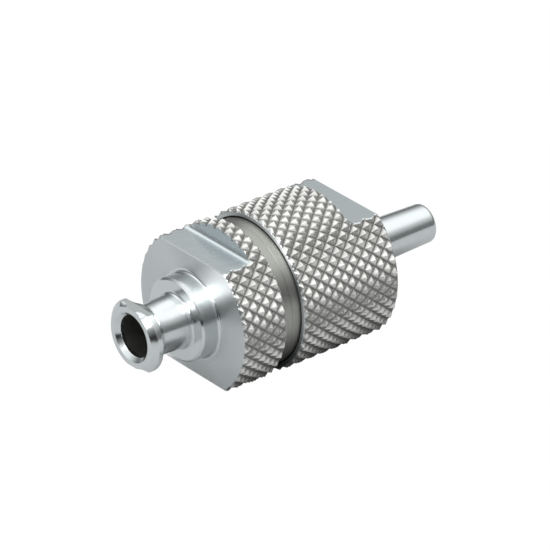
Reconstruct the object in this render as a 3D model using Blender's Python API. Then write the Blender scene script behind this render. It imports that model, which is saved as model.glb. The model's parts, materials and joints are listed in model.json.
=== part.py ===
"""In-line gas diffuser: a porous disc clamped inside a two-part screwed steel housing.

The housing's axis is X.  Gas enters the tapered socket at the -X end and leaves through the
tapered tip at the +X end.  The wrench flats face +Z and -Z.  The origin is on the axis, halfway
along the whole length.  The inlet cap is a plug with a right-hand thread, which screws into the
outlet body and clamps a stack: sealing ring, diffuser disc, support screen and flat gasket.
"""
import math
from collections import namedtuple

import bmesh
import bpy

MM = 0.001

# Stack inside the housing
DISC_DIAMETER = 13.0 * MM
DISC_THICKNESS = 1.0 * MM
DISC_EDGE = 0.15 * MM
SCREEN_THICKNESS = 0.4 * MM
SCREEN_HOLE = 0.9 * MM
SCREEN_PITCH = 1.4 * MM
GASKET_THICKNESS = 0.5 * MM
GASKET_WIDTH = 1.5 * MM
ORING_CORD = 1.2 * MM
ORING_INSET = 0.4 * MM
STACK_GAP = 0.1 * MM
STACK_SIDE_GAP = 0.32 * MM

# Screw joint between the two halves
THREAD_PITCH = 1.0 * MM
THREAD_DEPTH = 0.5 * MM
THREAD_CLEARANCE = 0.12 * MM
THREAD_ROWS_PER_PITCH = 6
THREAD_LEAD_IN = 0.5 * MM
NECK_STEP = 0.2 * MM
MOUTH_DEPTH = 1.0 * MM
MOUTH_WALL = 0.38 * MM

# Knurled grips and wrench flats
KNURL_STARTS = 38
KNURL_LENGTH = 1.48 * MM
KNURL_DEPTH = 0.35 * MM
KNURL_CHAMFER = 0.3 * MM
FLAT_WIDTH = 12.7 * MM
CAP_FLAT_LENGTH = 3.4 * MM
BODY_FLAT_LENGTH = 3.6 * MM

# Lengths along the axis
HUB_LENGTH = 5.4 * MM
BOSS_LENGTH = 2.0 * MM
CAP_LENGTH = 5.2 * MM
NECK_LENGTH = 2.2 * MM
BODY_LENGTH = 11.8 * MM
TIP_LENGTH = 10.2 * MM
FLOOR_THICKNESS = 1.0 * MM

# Conical fittings with a 6 percent taper
FITTING_TAPER = 0.06
SOCKET_DIAMETER = 4.27 * MM
SOCKET_DEPTH = 7.5 * MM
SOCKET_CHAMFER = 0.25 * MM
RIM_WIDTH = 0.72 * MM
LUG_HEIGHT = 0.6 * MM
LUG_SLOPE = 0.5 * MM
LUG_THICKNESS = 0.55 * MM
LUG_BACK = 0.8 * MM
LUG_FLAT_INSET = 0.66 * MM
HUB_WALL = 0.47 * MM
HUB_SPREAD = 0.14 * MM
BOSS_STEP = 1.5 * MM
BOSS_CHAMFER = 0.2 * MM
BOSS_FILLET = 0.55 * MM
TIP_DIAMETER = 4.0 * MM
TIP_ROUND = 0.35 * MM
TIP_FILLET = 0.3 * MM
FLOW_BORE = 2.0 * MM
FUNNEL_DEPTH = 0.6 * MM
FUNNEL_MARGIN = 0.6 * MM
PLUG_CHAMFER = 0.2 * MM
GROOVE_SIDE_GAP = 0.1 * MM

# Radii that follow from the disc and the screw joint
DISC_R = DISC_DIAMETER / 2
CAVITY_R = DISC_R + STACK_SIDE_GAP
MALE_ROOT_R = CAVITY_R - THREAD_CLEARANCE
NECK_R = MALE_ROOT_R + THREAD_DEPTH + NECK_STEP
MOUTH_R = NECK_R + THREAD_CLEARANCE
KNURL_ROOT_R = MOUTH_R + MOUTH_WALL
KNURL_R = KNURL_ROOT_R + KNURL_DEPTH
FACE_R = KNURL_ROOT_R - 0.02 * MM
GROOVE_OUTER_R = MALE_ROOT_R - 0.5 * MM
ORING_R = GROOVE_OUTER_R - GROOVE_SIDE_GAP - ORING_CORD / 2
GROOVE_INNER_R = ORING_R - ORING_CORD / 2 - GROOVE_SIDE_GAP
GASKET_INNER_R = DISC_R - GASKET_WIDTH
FUNNEL_R = GASKET_INNER_R - 0.2 * MM
BORE_R = FLOW_BORE / 2

# Radii of the socket hub and the tip
SOCKET_R = SOCKET_DIAMETER / 2
SOCKET_END_R = SOCKET_R - FITTING_TAPER * SOCKET_DEPTH / 2
RIM_INNER_R = SOCKET_R + SOCKET_CHAMFER
RIM_R = RIM_INNER_R + RIM_WIDTH
LUG_R = RIM_R + LUG_HEIGHT
HUB_R = SOCKET_R + HUB_WALL
HUB_END_R = HUB_R + HUB_SPREAD
BOSS_R = HUB_END_R + BOSS_STEP
TIP_R = TIP_DIAMETER / 2
TIP_BASE_R = TIP_R + FITTING_TAPER * TIP_LENGTH / 2

# Places along the axis, from the inlet end to the outlet end
TOTAL_LENGTH = HUB_LENGTH + BOSS_LENGTH + CAP_LENGTH + NECK_LENGTH + BODY_LENGTH + TIP_LENGTH
INLET_X = -TOTAL_LENGTH / 2
BOSS_X = INLET_X + HUB_LENGTH
CAP_X = BOSS_X + BOSS_LENGTH
CAP_END_X = CAP_X + CAP_LENGTH
BODY_X = CAP_END_X + NECK_LENGTH
BODY_END_X = BODY_X + BODY_LENGTH
TIP_X = BODY_END_X + TIP_LENGTH
CAP_STEP_X = CAP_X + CAP_FLAT_LENGTH
BODY_STEP_X = BODY_END_X - BODY_FLAT_LENGTH
FLOOR_X = BODY_STEP_X - FLOOR_THICKNESS
GASKET_X = FLOOR_X - STACK_GAP - GASKET_THICKNESS
SCREEN_X = GASKET_X - STACK_GAP - SCREEN_THICKNESS
DISC_X = SCREEN_X - STACK_GAP - DISC_THICKNESS
ORING_X = DISC_X - STACK_GAP - ORING_CORD / 2
GROOVE_X = ORING_X - ORING_CORD / 2 - STACK_GAP
PLUG_X = DISC_X - STACK_GAP - ORING_INSET
MOUTH_X = BODY_X + MOUTH_DEPTH
NECK_END_X = MOUTH_X - STACK_GAP
MALE_START_X = NECK_END_X + 0.2 * MM
MALE_END_X = PLUG_X - THREAD_LEAD_IN
FEMALE_END_X = PLUG_X
FUNNEL_END_X = FLOOR_X + FUNNEL_DEPTH

# Facets: the knurl has two columns of vertices to each start, other turned faces have one
FINE = 2 * KNURL_STARTS
COARSE = KNURL_STARTS
CORD_SIDES = 10
HOLE_SIDES = 8
SHARP_ANGLE = math.radians(30)
CUTTER_MARGIN = 2.0 * MM

Ring = namedtuple("Ring", "x radii row")


def clear_scene():
    """Remove every object that the scene starts with."""
    for item in list(bpy.data.objects):
        bpy.data.objects.remove(item, do_unlink=True)


def make_material(name, color, roughness, metallic):
    """Return a Principled material."""
    material = bpy.data.materials.new(name)
    material.use_nodes = True
    shader = material.node_tree.nodes["Principled BSDF"]
    shader.inputs["Base Color"].default_value = (*color, 1.0)
    shader.inputs["Roughness"].default_value = roughness
    shader.inputs["Metallic"].default_value = metallic
    material.diffuse_color = (*color, 1.0)
    return material


def circle(x, radius, count=COARSE):
    """Return a ring of one radius.  A count of 1 is a pole on the axis."""
    return Ring(x, [radius] * count, None)


def knurl_rings(start, end):
    """Return the rows of a diamond knurl: groove crossings and pyramid tips take turns."""
    steps = max(2, round((end - start) / (KNURL_LENGTH / 2)))
    rings = []
    for row in range(steps + 1):
        radii = [KNURL_ROOT_R if (i + row) % 2 == 0 else KNURL_R for i in range(FINE)]
        rings.append(Ring(start + (end - start) * row / steps, radii, row))
    return rings


def thread_rings(start, end, root, fade_start, fade_end):
    """Return the rows of a right-hand thread whose crest moves one pitch along X each turn.

    The height over the root is a raised cosine of x / pitch minus the turn.  It grows from
    nothing over half a pitch at each end that fades.
    """
    steps = max(4, round((end - start) / THREAD_PITCH * THREAD_ROWS_PER_PITCH))
    fade = THREAD_PITCH / 2
    rings = []
    for row in range(steps + 1):
        x = start + (end - start) * row / steps
        height = THREAD_DEPTH / 2
        if fade_start:
            height *= min(1.0, (x - start) / fade)
        if fade_end:
            height *= min(1.0, (end - x) / fade)
        radii = []
        for i in range(COARSE):
            phase = math.tau * (x / THREAD_PITCH - i / COARSE)
            radii.append(root + height * (1 + math.cos(phase)))
        rings.append(Ring(x, radii, None))
    return rings


def add_ring(bm, ring):
    """Add a ring's vertices round the X axis, from +Y towards +Z."""
    count = len(ring.radii)
    verts = []
    for i, radius in enumerate(ring.radii):
        angle = math.tau * i / count
        verts.append(bm.verts.new((ring.x, radius * math.cos(angle), radius * math.sin(angle))))
    return verts


def skin(bm, first, second, row):
    """Join two rings with faces.  One ring may have twice the vertices of the other, or be a pole.

    Between two knurl rows each square is split along the groove that crosses it.
    """
    count = max(len(first), len(second))
    first_step = count // len(first)
    second_step = count // len(second)
    for i in range(count):
        a = first[i // first_step]
        b = first[(i + 1) // first_step % len(first)]
        c = second[(i + 1) // second_step % len(second)]
        d = second[i // second_step]
        corners = list(dict.fromkeys((a, b, c, d)))
        if row is None:
            bm.faces.new(corners)
        elif (i + row) % 2 == 0:
            bm.faces.new((a, b, c))
            bm.faces.new((a, c, d))
        else:
            bm.faces.new((b, c, d))
            bm.faces.new((b, d, a))


def add_object(name, bm, material):
    """Finish a bmesh into a named object at the origin."""
    mesh = bpy.data.meshes.new(name)
    bm.normal_update()
    bm.to_mesh(mesh)
    bm.free()
    mesh.shade_smooth()
    mesh.set_sharp_from_angle(angle=SHARP_ANGLE)
    if material:
        mesh.materials.append(material)
    item = bpy.data.objects.new(name, mesh)
    bpy.context.scene.collection.objects.link(item)
    return item


def turned(name, profile, material, closed=True):
    """Skin a run of rings into a solid.  The outer side runs towards +X, the bore runs back."""
    bm = bmesh.new()
    loops = [add_ring(bm, ring) for ring in profile]
    count = len(profile)
    for i in range(count if closed else count - 1):
        j = (i + 1) % count
        in_knurl = profile[i].row is not None and profile[j].row is not None
        skin(bm, loops[i], loops[j], profile[i].row if in_knurl else None)
    return add_object(name, bm, material)


def cut_away(item, name, boxes):
    """Cut boxes, each given by its low and high corners, from a solid."""
    bm = bmesh.new()
    for low, high in boxes:
        made = bmesh.ops.create_cube(bm, size=1.0)["verts"]
        size = [high[k] - low[k] for k in range(3)]
        middle = [(high[k] + low[k]) / 2 for k in range(3)]
        bmesh.ops.scale(bm, verts=made, vec=size)
        bmesh.ops.translate(bm, verts=made, vec=middle)
    subtract(item, add_object(name, bm, None))


def subtract(item, cutter):
    """Take the cutter from the item with a Boolean, and keep the cutter out of sight."""
    cutter.hide_render = True
    cutter.display_type = "WIRE"
    cut = item.modifiers.new(cutter.name, "BOOLEAN")
    cut.operation = "DIFFERENCE"
    cut.solver = "EXACT"
    cut.object = cutter


def flat_boxes(start, end, half_width, reach):
    """Return the two boxes that mill a pair of flats square to Z."""
    low = ((start, -reach, -reach), (end, reach, -half_width))
    high = ((start, -reach, half_width), (end, reach, reach))
    return [low, high]


def build_inlet_cap(material):
    """Inlet cap: socket hub with lugs, boss, knurled head with two flats, and threaded plug."""
    hub = [
        circle(INLET_X, RIM_INNER_R),
        circle(INLET_X, RIM_R),
        circle(INLET_X + LUG_SLOPE, LUG_R),
        circle(INLET_X + LUG_SLOPE + LUG_THICKNESS, LUG_R),
        circle(INLET_X + LUG_SLOPE + LUG_THICKNESS + LUG_BACK, HUB_R),
        circle(BOSS_X, HUB_END_R),
        circle(BOSS_X, BOSS_R - BOSS_CHAMFER),
        circle(BOSS_X + BOSS_CHAMFER, BOSS_R),
    ]
    for i in range(4):
        turn = math.radians(30 * i)
        x = CAP_X - BOSS_FILLET * (1 - math.sin(turn))
        hub.append(circle(x, BOSS_R + BOSS_FILLET * (1 - math.cos(turn))))
    head = [circle(CAP_X, FACE_R, FINE)]
    head += knurl_rings(CAP_X + KNURL_CHAMFER, CAP_END_X - KNURL_CHAMFER)
    head.append(circle(CAP_END_X, FACE_R, FINE))
    plug = [
        circle(CAP_END_X, NECK_R),
        circle(NECK_END_X, NECK_R),
        circle(NECK_END_X, MALE_ROOT_R),
    ]
    plug += thread_rings(MALE_START_X, MALE_END_X, MALE_ROOT_R, True, True)
    plug += [
        circle(PLUG_X - PLUG_CHAMFER, MALE_ROOT_R),
        circle(PLUG_X, MALE_ROOT_R - PLUG_CHAMFER),
        circle(PLUG_X, GROOVE_OUTER_R),
        circle(GROOVE_X, GROOVE_OUTER_R),
        circle(GROOVE_X, GROOVE_INNER_R),
        circle(PLUG_X, GROOVE_INNER_R),
        circle(PLUG_X, GROOVE_INNER_R - FUNNEL_MARGIN),
        circle(PLUG_X - FUNNEL_DEPTH, BORE_R),
    ]
    socket = [
        circle(INLET_X + SOCKET_DEPTH, BORE_R),
        circle(INLET_X + SOCKET_DEPTH, SOCKET_END_R),
        circle(INLET_X + SOCKET_CHAMFER, SOCKET_R),
    ]
    cap = turned("inlet_cap", hub + head + plug + socket, material)
    reach = KNURL_R + CUTTER_MARGIN
    lug_end = INLET_X + LUG_SLOPE + LUG_THICKNESS + LUG_BACK
    boxes = flat_boxes(CAP_X - CUTTER_MARGIN, CAP_STEP_X, FLAT_WIDTH / 2, reach)
    cut_away(cap, "cap_flats_cutter", boxes)
    boxes = flat_boxes(INLET_X - CUTTER_MARGIN, lug_end, LUG_R - LUG_FLAT_INSET, reach)
    cut_away(cap, "lug_flats_cutter", boxes)


def build_outlet_body(material):
    """Outlet body: knurled cup with an inner thread, two flats and the tapered outlet tip."""
    outside = [circle(BODY_X, MOUTH_R), circle(BODY_X, FACE_R, FINE)]
    outside += knurl_rings(BODY_X + KNURL_CHAMFER, BODY_END_X - KNURL_CHAMFER)
    outside += [
        circle(BODY_END_X, FACE_R, FINE),
        circle(BODY_END_X, TIP_BASE_R + TIP_FILLET),
        circle(BODY_END_X + TIP_FILLET, TIP_BASE_R),
    ]
    for i in range(4):
        turn = math.radians(30 * i)
        x = TIP_X - TIP_ROUND * (1 - math.sin(turn))
        outside.append(circle(x, TIP_R - TIP_ROUND * (1 - math.cos(turn))))
    inside = [
        circle(TIP_X, BORE_R),
        circle(FUNNEL_END_X, BORE_R),
        circle(FLOOR_X, FUNNEL_R),
        circle(FLOOR_X, CAVITY_R),
    ]
    inside += reversed(thread_rings(MOUTH_X, FEMALE_END_X, CAVITY_R, False, True))
    inside.append(circle(MOUTH_X, MOUTH_R))
    body = turned("outlet_body", outside + inside, material)
    reach = KNURL_R + CUTTER_MARGIN
    boxes = flat_boxes(BODY_STEP_X, BODY_END_X + CUTTER_MARGIN, FLAT_WIDTH / 2, reach)
    cut_away(body, "body_flats_cutter", boxes)


def build_o_ring(material):
    """Sealing ring: a round cord bent into a circle."""
    profile = []
    for i in range(CORD_SIDES):
        turn = math.tau * i / CORD_SIDES
        x = ORING_X - ORING_CORD / 2 * math.cos(turn)
        profile.append(circle(x, ORING_R + ORING_CORD / 2 * math.sin(turn)))
    turned("o_ring", profile, material)


def build_disc(material):
    """Diffuser disc: a round porous plate with broken edges."""
    end = DISC_X + DISC_THICKNESS
    profile = [
        circle(DISC_X, 0.0, 1),
        circle(DISC_X, DISC_R - DISC_EDGE),
        circle(DISC_X + DISC_EDGE, DISC_R),
        circle(end - DISC_EDGE, DISC_R),
        circle(end, DISC_R - DISC_EDGE),
        circle(end, 0.0, 1),
    ]
    turned("diffuser_disc", profile, material, closed=False)


def build_screen(material):
    """Support screen: a thin plate with holes on a triangular grid inside the gasket's opening."""
    end = SCREEN_X + SCREEN_THICKNESS
    profile = [
        circle(SCREEN_X, 0.0, 1),
        circle(SCREEN_X, DISC_R),
        circle(end, DISC_R),
        circle(end, 0.0, 1),
    ]
    screen = turned("support_screen", profile, material, closed=False)
    bm = bmesh.new()
    reach = int(GASKET_INNER_R / SCREEN_PITCH) + 1
    for i in range(-reach, reach + 1):
        for j in range(-reach, reach + 1):
            y = SCREEN_PITCH * (i + j / 2)
            z = SCREEN_PITCH * j * math.sqrt(3) / 2
            if math.hypot(y, z) + SCREEN_HOLE / 2 < GASKET_INNER_R:
                add_drill(bm, y, z)
    subtract(screen, add_object("screen_holes_cutter", bm, None))


def add_drill(bm, y, z):
    """Add one prism along X that drills a hole of the screen."""
    low = [bm.verts.new((SCREEN_X - STACK_GAP / 2, *corner)) for corner in hole_corners(y, z)]
    end = SCREEN_X + SCREEN_THICKNESS + STACK_GAP / 2
    high = [bm.verts.new((end, *corner)) for corner in hole_corners(y, z)]
    skin(bm, low, high, None)
    bm.faces.new(reversed(low))
    bm.faces.new(high)


def hole_corners(y, z):
    """Return the corners of a hole's outline round the point y, z."""
    corners = []
    for i in range(HOLE_SIDES):
        turn = math.tau * (i + 0.5) / HOLE_SIDES
        corners.append((y + SCREEN_HOLE / 2 * math.cos(turn), z + SCREEN_HOLE / 2 * math.sin(turn)))
    return corners


def build_gasket(material):
    """Flat gasket: a washer between the screen and the floor of the cup."""
    end = GASKET_X + GASKET_THICKNESS
    profile = [
        circle(GASKET_X, GASKET_INNER_R),
        circle(GASKET_X, DISC_R),
        circle(end, DISC_R),
        circle(end, GASKET_INNER_R),
    ]
    turned("flat_gasket", profile, material)


def main():
    """Build the diffuser."""
    clear_scene()
    build_inlet_cap(make_material("cap_steel", (0.62, 0.63, 0.62), 0.2, 1.0))
    build_outlet_body(make_material("body_steel", (0.62, 0.62, 0.61), 0.22, 1.0))
    build_o_ring(make_material("seal_rubber", (0.03, 0.03, 0.032), 0.55, 0.0))
    build_disc(make_material("porous_ceramic", (0.82, 0.81, 0.77), 0.9, 0.0))
    build_screen(make_material("screen_steel", (0.55, 0.56, 0.56), 0.35, 1.0))
    build_gasket(make_material("gasket_white", (0.86, 0.86, 0.84), 0.5, 0.0))


main()
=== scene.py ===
import json
import math

import bpy
import numpy as np
from bpy.props import FloatProperty, FloatVectorProperty, PointerProperty
from mathutils import Matrix, Vector


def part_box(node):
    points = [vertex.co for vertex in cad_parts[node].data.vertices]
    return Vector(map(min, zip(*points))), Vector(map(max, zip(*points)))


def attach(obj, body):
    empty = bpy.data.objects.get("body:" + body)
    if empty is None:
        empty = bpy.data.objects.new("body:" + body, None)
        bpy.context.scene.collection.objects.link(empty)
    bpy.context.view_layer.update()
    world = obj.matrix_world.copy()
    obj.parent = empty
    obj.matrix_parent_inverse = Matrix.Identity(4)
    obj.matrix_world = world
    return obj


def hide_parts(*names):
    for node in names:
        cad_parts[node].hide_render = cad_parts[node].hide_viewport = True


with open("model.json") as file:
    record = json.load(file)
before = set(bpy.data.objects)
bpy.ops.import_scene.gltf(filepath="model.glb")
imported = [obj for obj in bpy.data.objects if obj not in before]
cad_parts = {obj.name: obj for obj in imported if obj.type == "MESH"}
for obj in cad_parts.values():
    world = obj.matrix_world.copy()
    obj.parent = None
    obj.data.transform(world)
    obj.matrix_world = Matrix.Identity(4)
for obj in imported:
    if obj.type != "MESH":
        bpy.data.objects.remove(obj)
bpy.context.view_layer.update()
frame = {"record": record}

bl_info = {
    "name": "Inline Gas Diffuser",
    "version": (1, 0, 0),
    "blender": (4, 5, 0),
    "location": "View3D > Sidebar > Diffuser",
    "description": "Builds a screwed steel gas diffuser, its stack and a small studio",
    "category": "Add Mesh",
}

# Places that the frame gives, in metres.  The axis of every turned surface is X.
MOUNTS = {mount["name"]: mount["pos_m"] for mount in frame["record"]["mounts"]}
CAP_LOW, CAP_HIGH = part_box("inlet_cap")
BODY_LOW, BODY_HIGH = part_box("outlet_body")
RING_LOW, RING_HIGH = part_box("o_ring")
DISC_LOW, DISC_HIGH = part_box("diffuser_disc")
SCREEN_LOW, SCREEN_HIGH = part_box("support_screen")
GASKET_LOW, GASKET_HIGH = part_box("flat_gasket")
INLET_X, PLUG_X = CAP_LOW.x, CAP_HIGH.x
BODY_X, TIP_X = BODY_LOW.x, BODY_HIGH.x
CAP_X = MOUNTS["inlet_face"][0]
BODY_END_X = MOUNTS["outlet_face"][0]
CAP_FLAT = MOUNTS["cap_flat_top"][2]
GRIP_R = BODY_HIGH.y

MM = 0.001
TAU = math.tau

# Knurl: grooves of one hand round a grip, grid columns from groove to groove, how worn the ridges
# are, and the height at which the tips are blunt
STARTS = 38
COLUMNS_PER_START = 14
RIDGE_WEAR = 0.05
BLUNT_TIP = 0.94

# Grid columns round a grip, and round a plain turned surface
FINE = STARTS * COLUMNS_PER_START
COARSE = FINE // 4

# Grid rows along a rounded corner, a grip's chamfer, a flat's fillet, the wall behind a flat, an
# end face, the sealing ring's cord and a face of the porous disc
CORNER_ROWS = 5
CHAMFER_ROWS = 4
FILLET_ROWS = 6
WALL_ROWS = 7
FACE_ROWS = 7
CORD_ROWS = 40
DISC_ROWS = 45

# Support screen: points round a hole, and rings of holes round the middle one
HOLE_POINTS = 24
HOLE_RINGS = 3

# A conical fitting's radius changes by this share of its length: 6 % on the diameter
CONE = 0.03
# Sharpness of a thread's crest, 1 for a point
CREST = 0.96
# Height of a flat that is out of every surface's reach, in metres, and how high a flat rises past
# a grip at its wall, in grip radii
NO_FLAT = 1.0
OFF_GRIP = 1.01
# Rows of the knurl stay clear of a fillet or a broken edge by this many times its size
CLEAR = 1.2
# Points are welded on a grid of this many steps in a metre
WELD = 1e9
SMOOTH_ANGLE = math.radians(36)

# Radii of usual edges and corners
FINE_EDGE = 0.05 * MM
EDGE = 0.1 * MM
CORNER = 0.15 * MM

# Kinds of surface, which choose a piece's materials
TURNED, MILLED, KNURLED, POLISHED, BORED, SHADED_COLLAR = range(6)


# ---------------------------------------------------------------- surfaces


def rounded(points, radii):
    """Outline with rounded corners, as an array of x and radius.

    Each corner becomes an arc that is tangent to both sides: its centre is on the bisector, and
    the tangent points are radius / tan(half the corner's angle) from the corner.  A support point
    half a radius beyond each tangent point keeps the shading of the straight sides flat.
    """
    points = np.asarray(points, float)
    share = np.linspace(0, 1, CORNER_ROWS)[:, None]
    out = [points[:1]]
    for corner, before, after, radius in zip(points[1:-1], points[:-2], points[2:], radii):
        back = (before - corner) / np.linalg.norm(before - corner)
        ahead = (after - corner) / np.linalg.norm(after - corner)
        half = 0.5 * math.acos(float(np.clip(back @ ahead, -1, 1)))
        reach = radius / math.tan(half)
        centre = corner + (back + ahead) / np.linalg.norm(back + ahead) * radius / math.sin(half)
        first, last = corner + back * reach, corner + ahead * reach
        sweep = math.pi - 2 * half
        arc = np.sin((1 - share) * sweep) * (first - centre)
        arc = centre + (arc + np.sin(share * sweep) * (last - centre)) / math.sin(sweep)
        support = 0.5 * radius
        out += [[first + back * support], arc, [last + ahead * support]]
    out.append(points[-1:])
    return np.concatenate(out)


def turns(columns):
    """Angles round the X axis of a ring's columns, from +Y towards +Z."""
    return TAU * np.arange(columns) / columns


def band(x, radius, surface, split=None, join=None):
    """Grid of points on turned rings: (x, radius cos angle, radius sin angle) for rows of radii.

    split is true where a square is divided from its second corner to its fourth.  join is the kind
    of the faces that lead to the next band.
    """
    rows, columns = radius.shape
    angle = turns(columns)
    x = np.asarray(x, float)
    x = np.broadcast_to(x[:, None] if x.ndim == 1 else x, radius.shape)
    points = np.stack([x, radius * np.cos(angle), radius * np.sin(angle)], -1)
    if split is None:
        split = np.zeros((rows - 1, columns), bool)
    kinds = np.broadcast_to(np.asarray(surface), (rows - 1, columns))
    join = surface if join is None else join
    return {"points": points, "split": split, "kinds": kinds, "join": join}


def plain(outline, surface, columns=COARSE):
    """Band whose rings are true circles, from an outline of x and radius."""
    outline = np.asarray(outline, float)
    return band(outline[:, 0], np.repeat(outline[:, 1:], columns, axis=1), surface)


def pole(x, surface):
    """Band of one point on the axis."""
    return plain([[x, 0.0]], surface, 1)


def over_flat(half, angle):
    """Radius at which a ray meets the pair of planes at height half: half / |sin angle|."""
    return half / np.maximum(np.abs(np.sin(angle)), 1e-6)


def clipped(x, half, formula, surface, cut=MILLED):
    """Band whose radius is the lesser of formula(row, x, angle) and that of a flat at height half.

    Each square is divided along the diagonal that lies nearer to the formula at its middle, so
    that grooves and edges stay crisp.  Squares whose middle is on the flat take the cut surface.
    """
    row = np.arange(len(x), dtype=float)[:, None]
    x = np.asarray(x, float)[:, None]
    half = np.broadcast_to(half, len(x))[:, None].astype(float)
    angle = turns(FINE)[None]
    radius = np.minimum(formula(row, x, angle), over_flat(half, angle))
    middle_angle = angle + TAU / FINE / 2
    whole = formula(row[:-1] + 0.5, (x[1:] + x[:-1]) / 2, middle_angle)
    flat = over_flat((half[1:] + half[:-1]) / 2, middle_angle)
    middle = np.minimum(whole, flat)
    beside = np.roll(radius, -1, axis=1)
    along = (radius[:-1] + beside[1:]) / 2
    across = (beside[:-1] + radius[1:]) / 2
    split = np.abs(across - middle) < np.abs(along - middle)
    kinds = np.where(flat < whole, cut, surface)
    return band(x, radius, kinds, split, surface)


def squares(first, second, split):
    """Two triangles for each square between two rings of the same count of vertices."""
    a, b = first, np.roll(first, -1, axis=-1)
    d, c = second, np.roll(second, -1, axis=-1)
    split = split[..., None]
    one = np.where(split, np.stack([a, b, d], -1), np.stack([a, b, c], -1))
    two = np.where(split, np.stack([b, c, d], -1), np.stack([a, c, d], -1))
    return [one.reshape(-1, 3), two.reshape(-1, 3)]


def stitched(first, second):
    """Triangles between a ring and one that has a whole number of times its vertices, or a pole."""
    fine, coarse = (first, second) if len(first) > len(second) else (second, first)
    ratio = len(fine) // len(coarse)
    owner = coarse[(np.arange(len(fine)) + ratio // 2) // ratio % len(coarse)]
    following, next_owner = np.roll(fine, -1), np.roll(owner, -1)
    gap = owner != next_owner
    fans = np.stack([owner, fine, following], -1)
    bridges = np.stack([owner, following, next_owner], -1)[gap]
    found = np.concatenate([fans, bridges])
    return [found if fine is first else found[:, ::-1]]


def make_piece(name, bands, materials, closed=True):
    """Skin a run of bands into one closed mesh.  The outer side of the run goes towards +X."""
    points, faces, kinds, ends = [], [], [], []
    start = 0
    for item in bands:
        rows, columns = item["points"].shape[:2]
        index = start + np.arange(rows * columns).reshape(rows, columns)
        start += rows * columns
        points.append(item["points"].reshape(-1, 3))
        ends.append((index[0], index[-1], item["join"]))
        if rows > 1:
            faces += squares(index[:-1], index[1:], item["split"])
            kinds += [item["kinds"].ravel()] * 2
    for here, there in zip(ends, ends[1:] + ends[:1] if closed else ends[1:]):
        last, first = here[1], there[0]
        same = len(last) == len(first)
        found = squares(last, first, np.zeros(len(last), bool)) if same else stitched(last, first)
        faces += found
        kinds += [np.full(len(triangles), here[2]) for triangles in found]
    arrays = (np.concatenate(parts) for parts in (points, faces, kinds))
    return make_mesh(name, *arrays, materials)


def make_mesh(name, points, faces, kinds, materials):
    """Weld equal points, drop faces without area and write the arrays into a new object."""
    keys = np.round(points * WELD).astype(np.int64)
    _, first, index = np.unique(keys, axis=0, return_index=True, return_inverse=True)
    points, faces = points[first], index.reshape(-1)[faces]
    whole = (faces != np.roll(faces, 1, axis=1)).all(axis=1)
    faces, kinds = faces[whole], kinds[whole]
    place = np.zeros(max(materials) + 1, np.int32)
    place[list(materials)] = np.arange(len(materials))
    mesh = bpy.data.meshes.new(name)
    mesh.vertices.add(len(points))
    mesh.vertices.foreach_set("co", points.astype(np.float32).ravel())
    mesh.loops.add(faces.size)
    mesh.loops.foreach_set("vertex_index", faces.astype(np.int32).ravel())
    mesh.polygons.add(len(faces))
    mesh.polygons.foreach_set("loop_start", np.arange(0, faces.size, 3, dtype=np.int32))
    mesh.polygons.foreach_set("material_index", place[kinds])
    for material in materials.values():
        mesh.materials.append(material)
    mesh.update(calc_edges=True)
    mesh.shade_smooth()
    mesh.set_sharp_from_angle(angle=SMOOTH_ANGLE)
    piece = bpy.data.objects.new(name, mesh)
    bpy.context.scene.collection.objects.link(piece)
    return piece


def place_piece(piece, body, node):
    """Let a piece ride on its body, and hide the CAD part that it stands for."""
    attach(piece, body)
    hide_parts(node)


# ---------------------------------------------------------------- knurl, flats and thread


def knurl_height(along, around):
    """Height of a diamond knurl, 0 in its grooves and 1 on its tips.

    along and around count diamonds.  The grooves are where their sum or difference is whole.  The
    height is twice the distance to the nearer family of grooves, as a smooth minimum, so that the
    ridges between a diamond's four faces are a little worn.
    """
    rising = np.abs(around + along - np.round(around + along))
    falling = np.abs(around - along - np.round(around - along))
    lesser = 0.5 * (rising + falling - np.sqrt((rising - falling) ** 2 + RIDGE_WEAR**2))
    return np.minimum(2 * np.maximum(lesser, 0.0), BLUNT_TIP)


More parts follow.
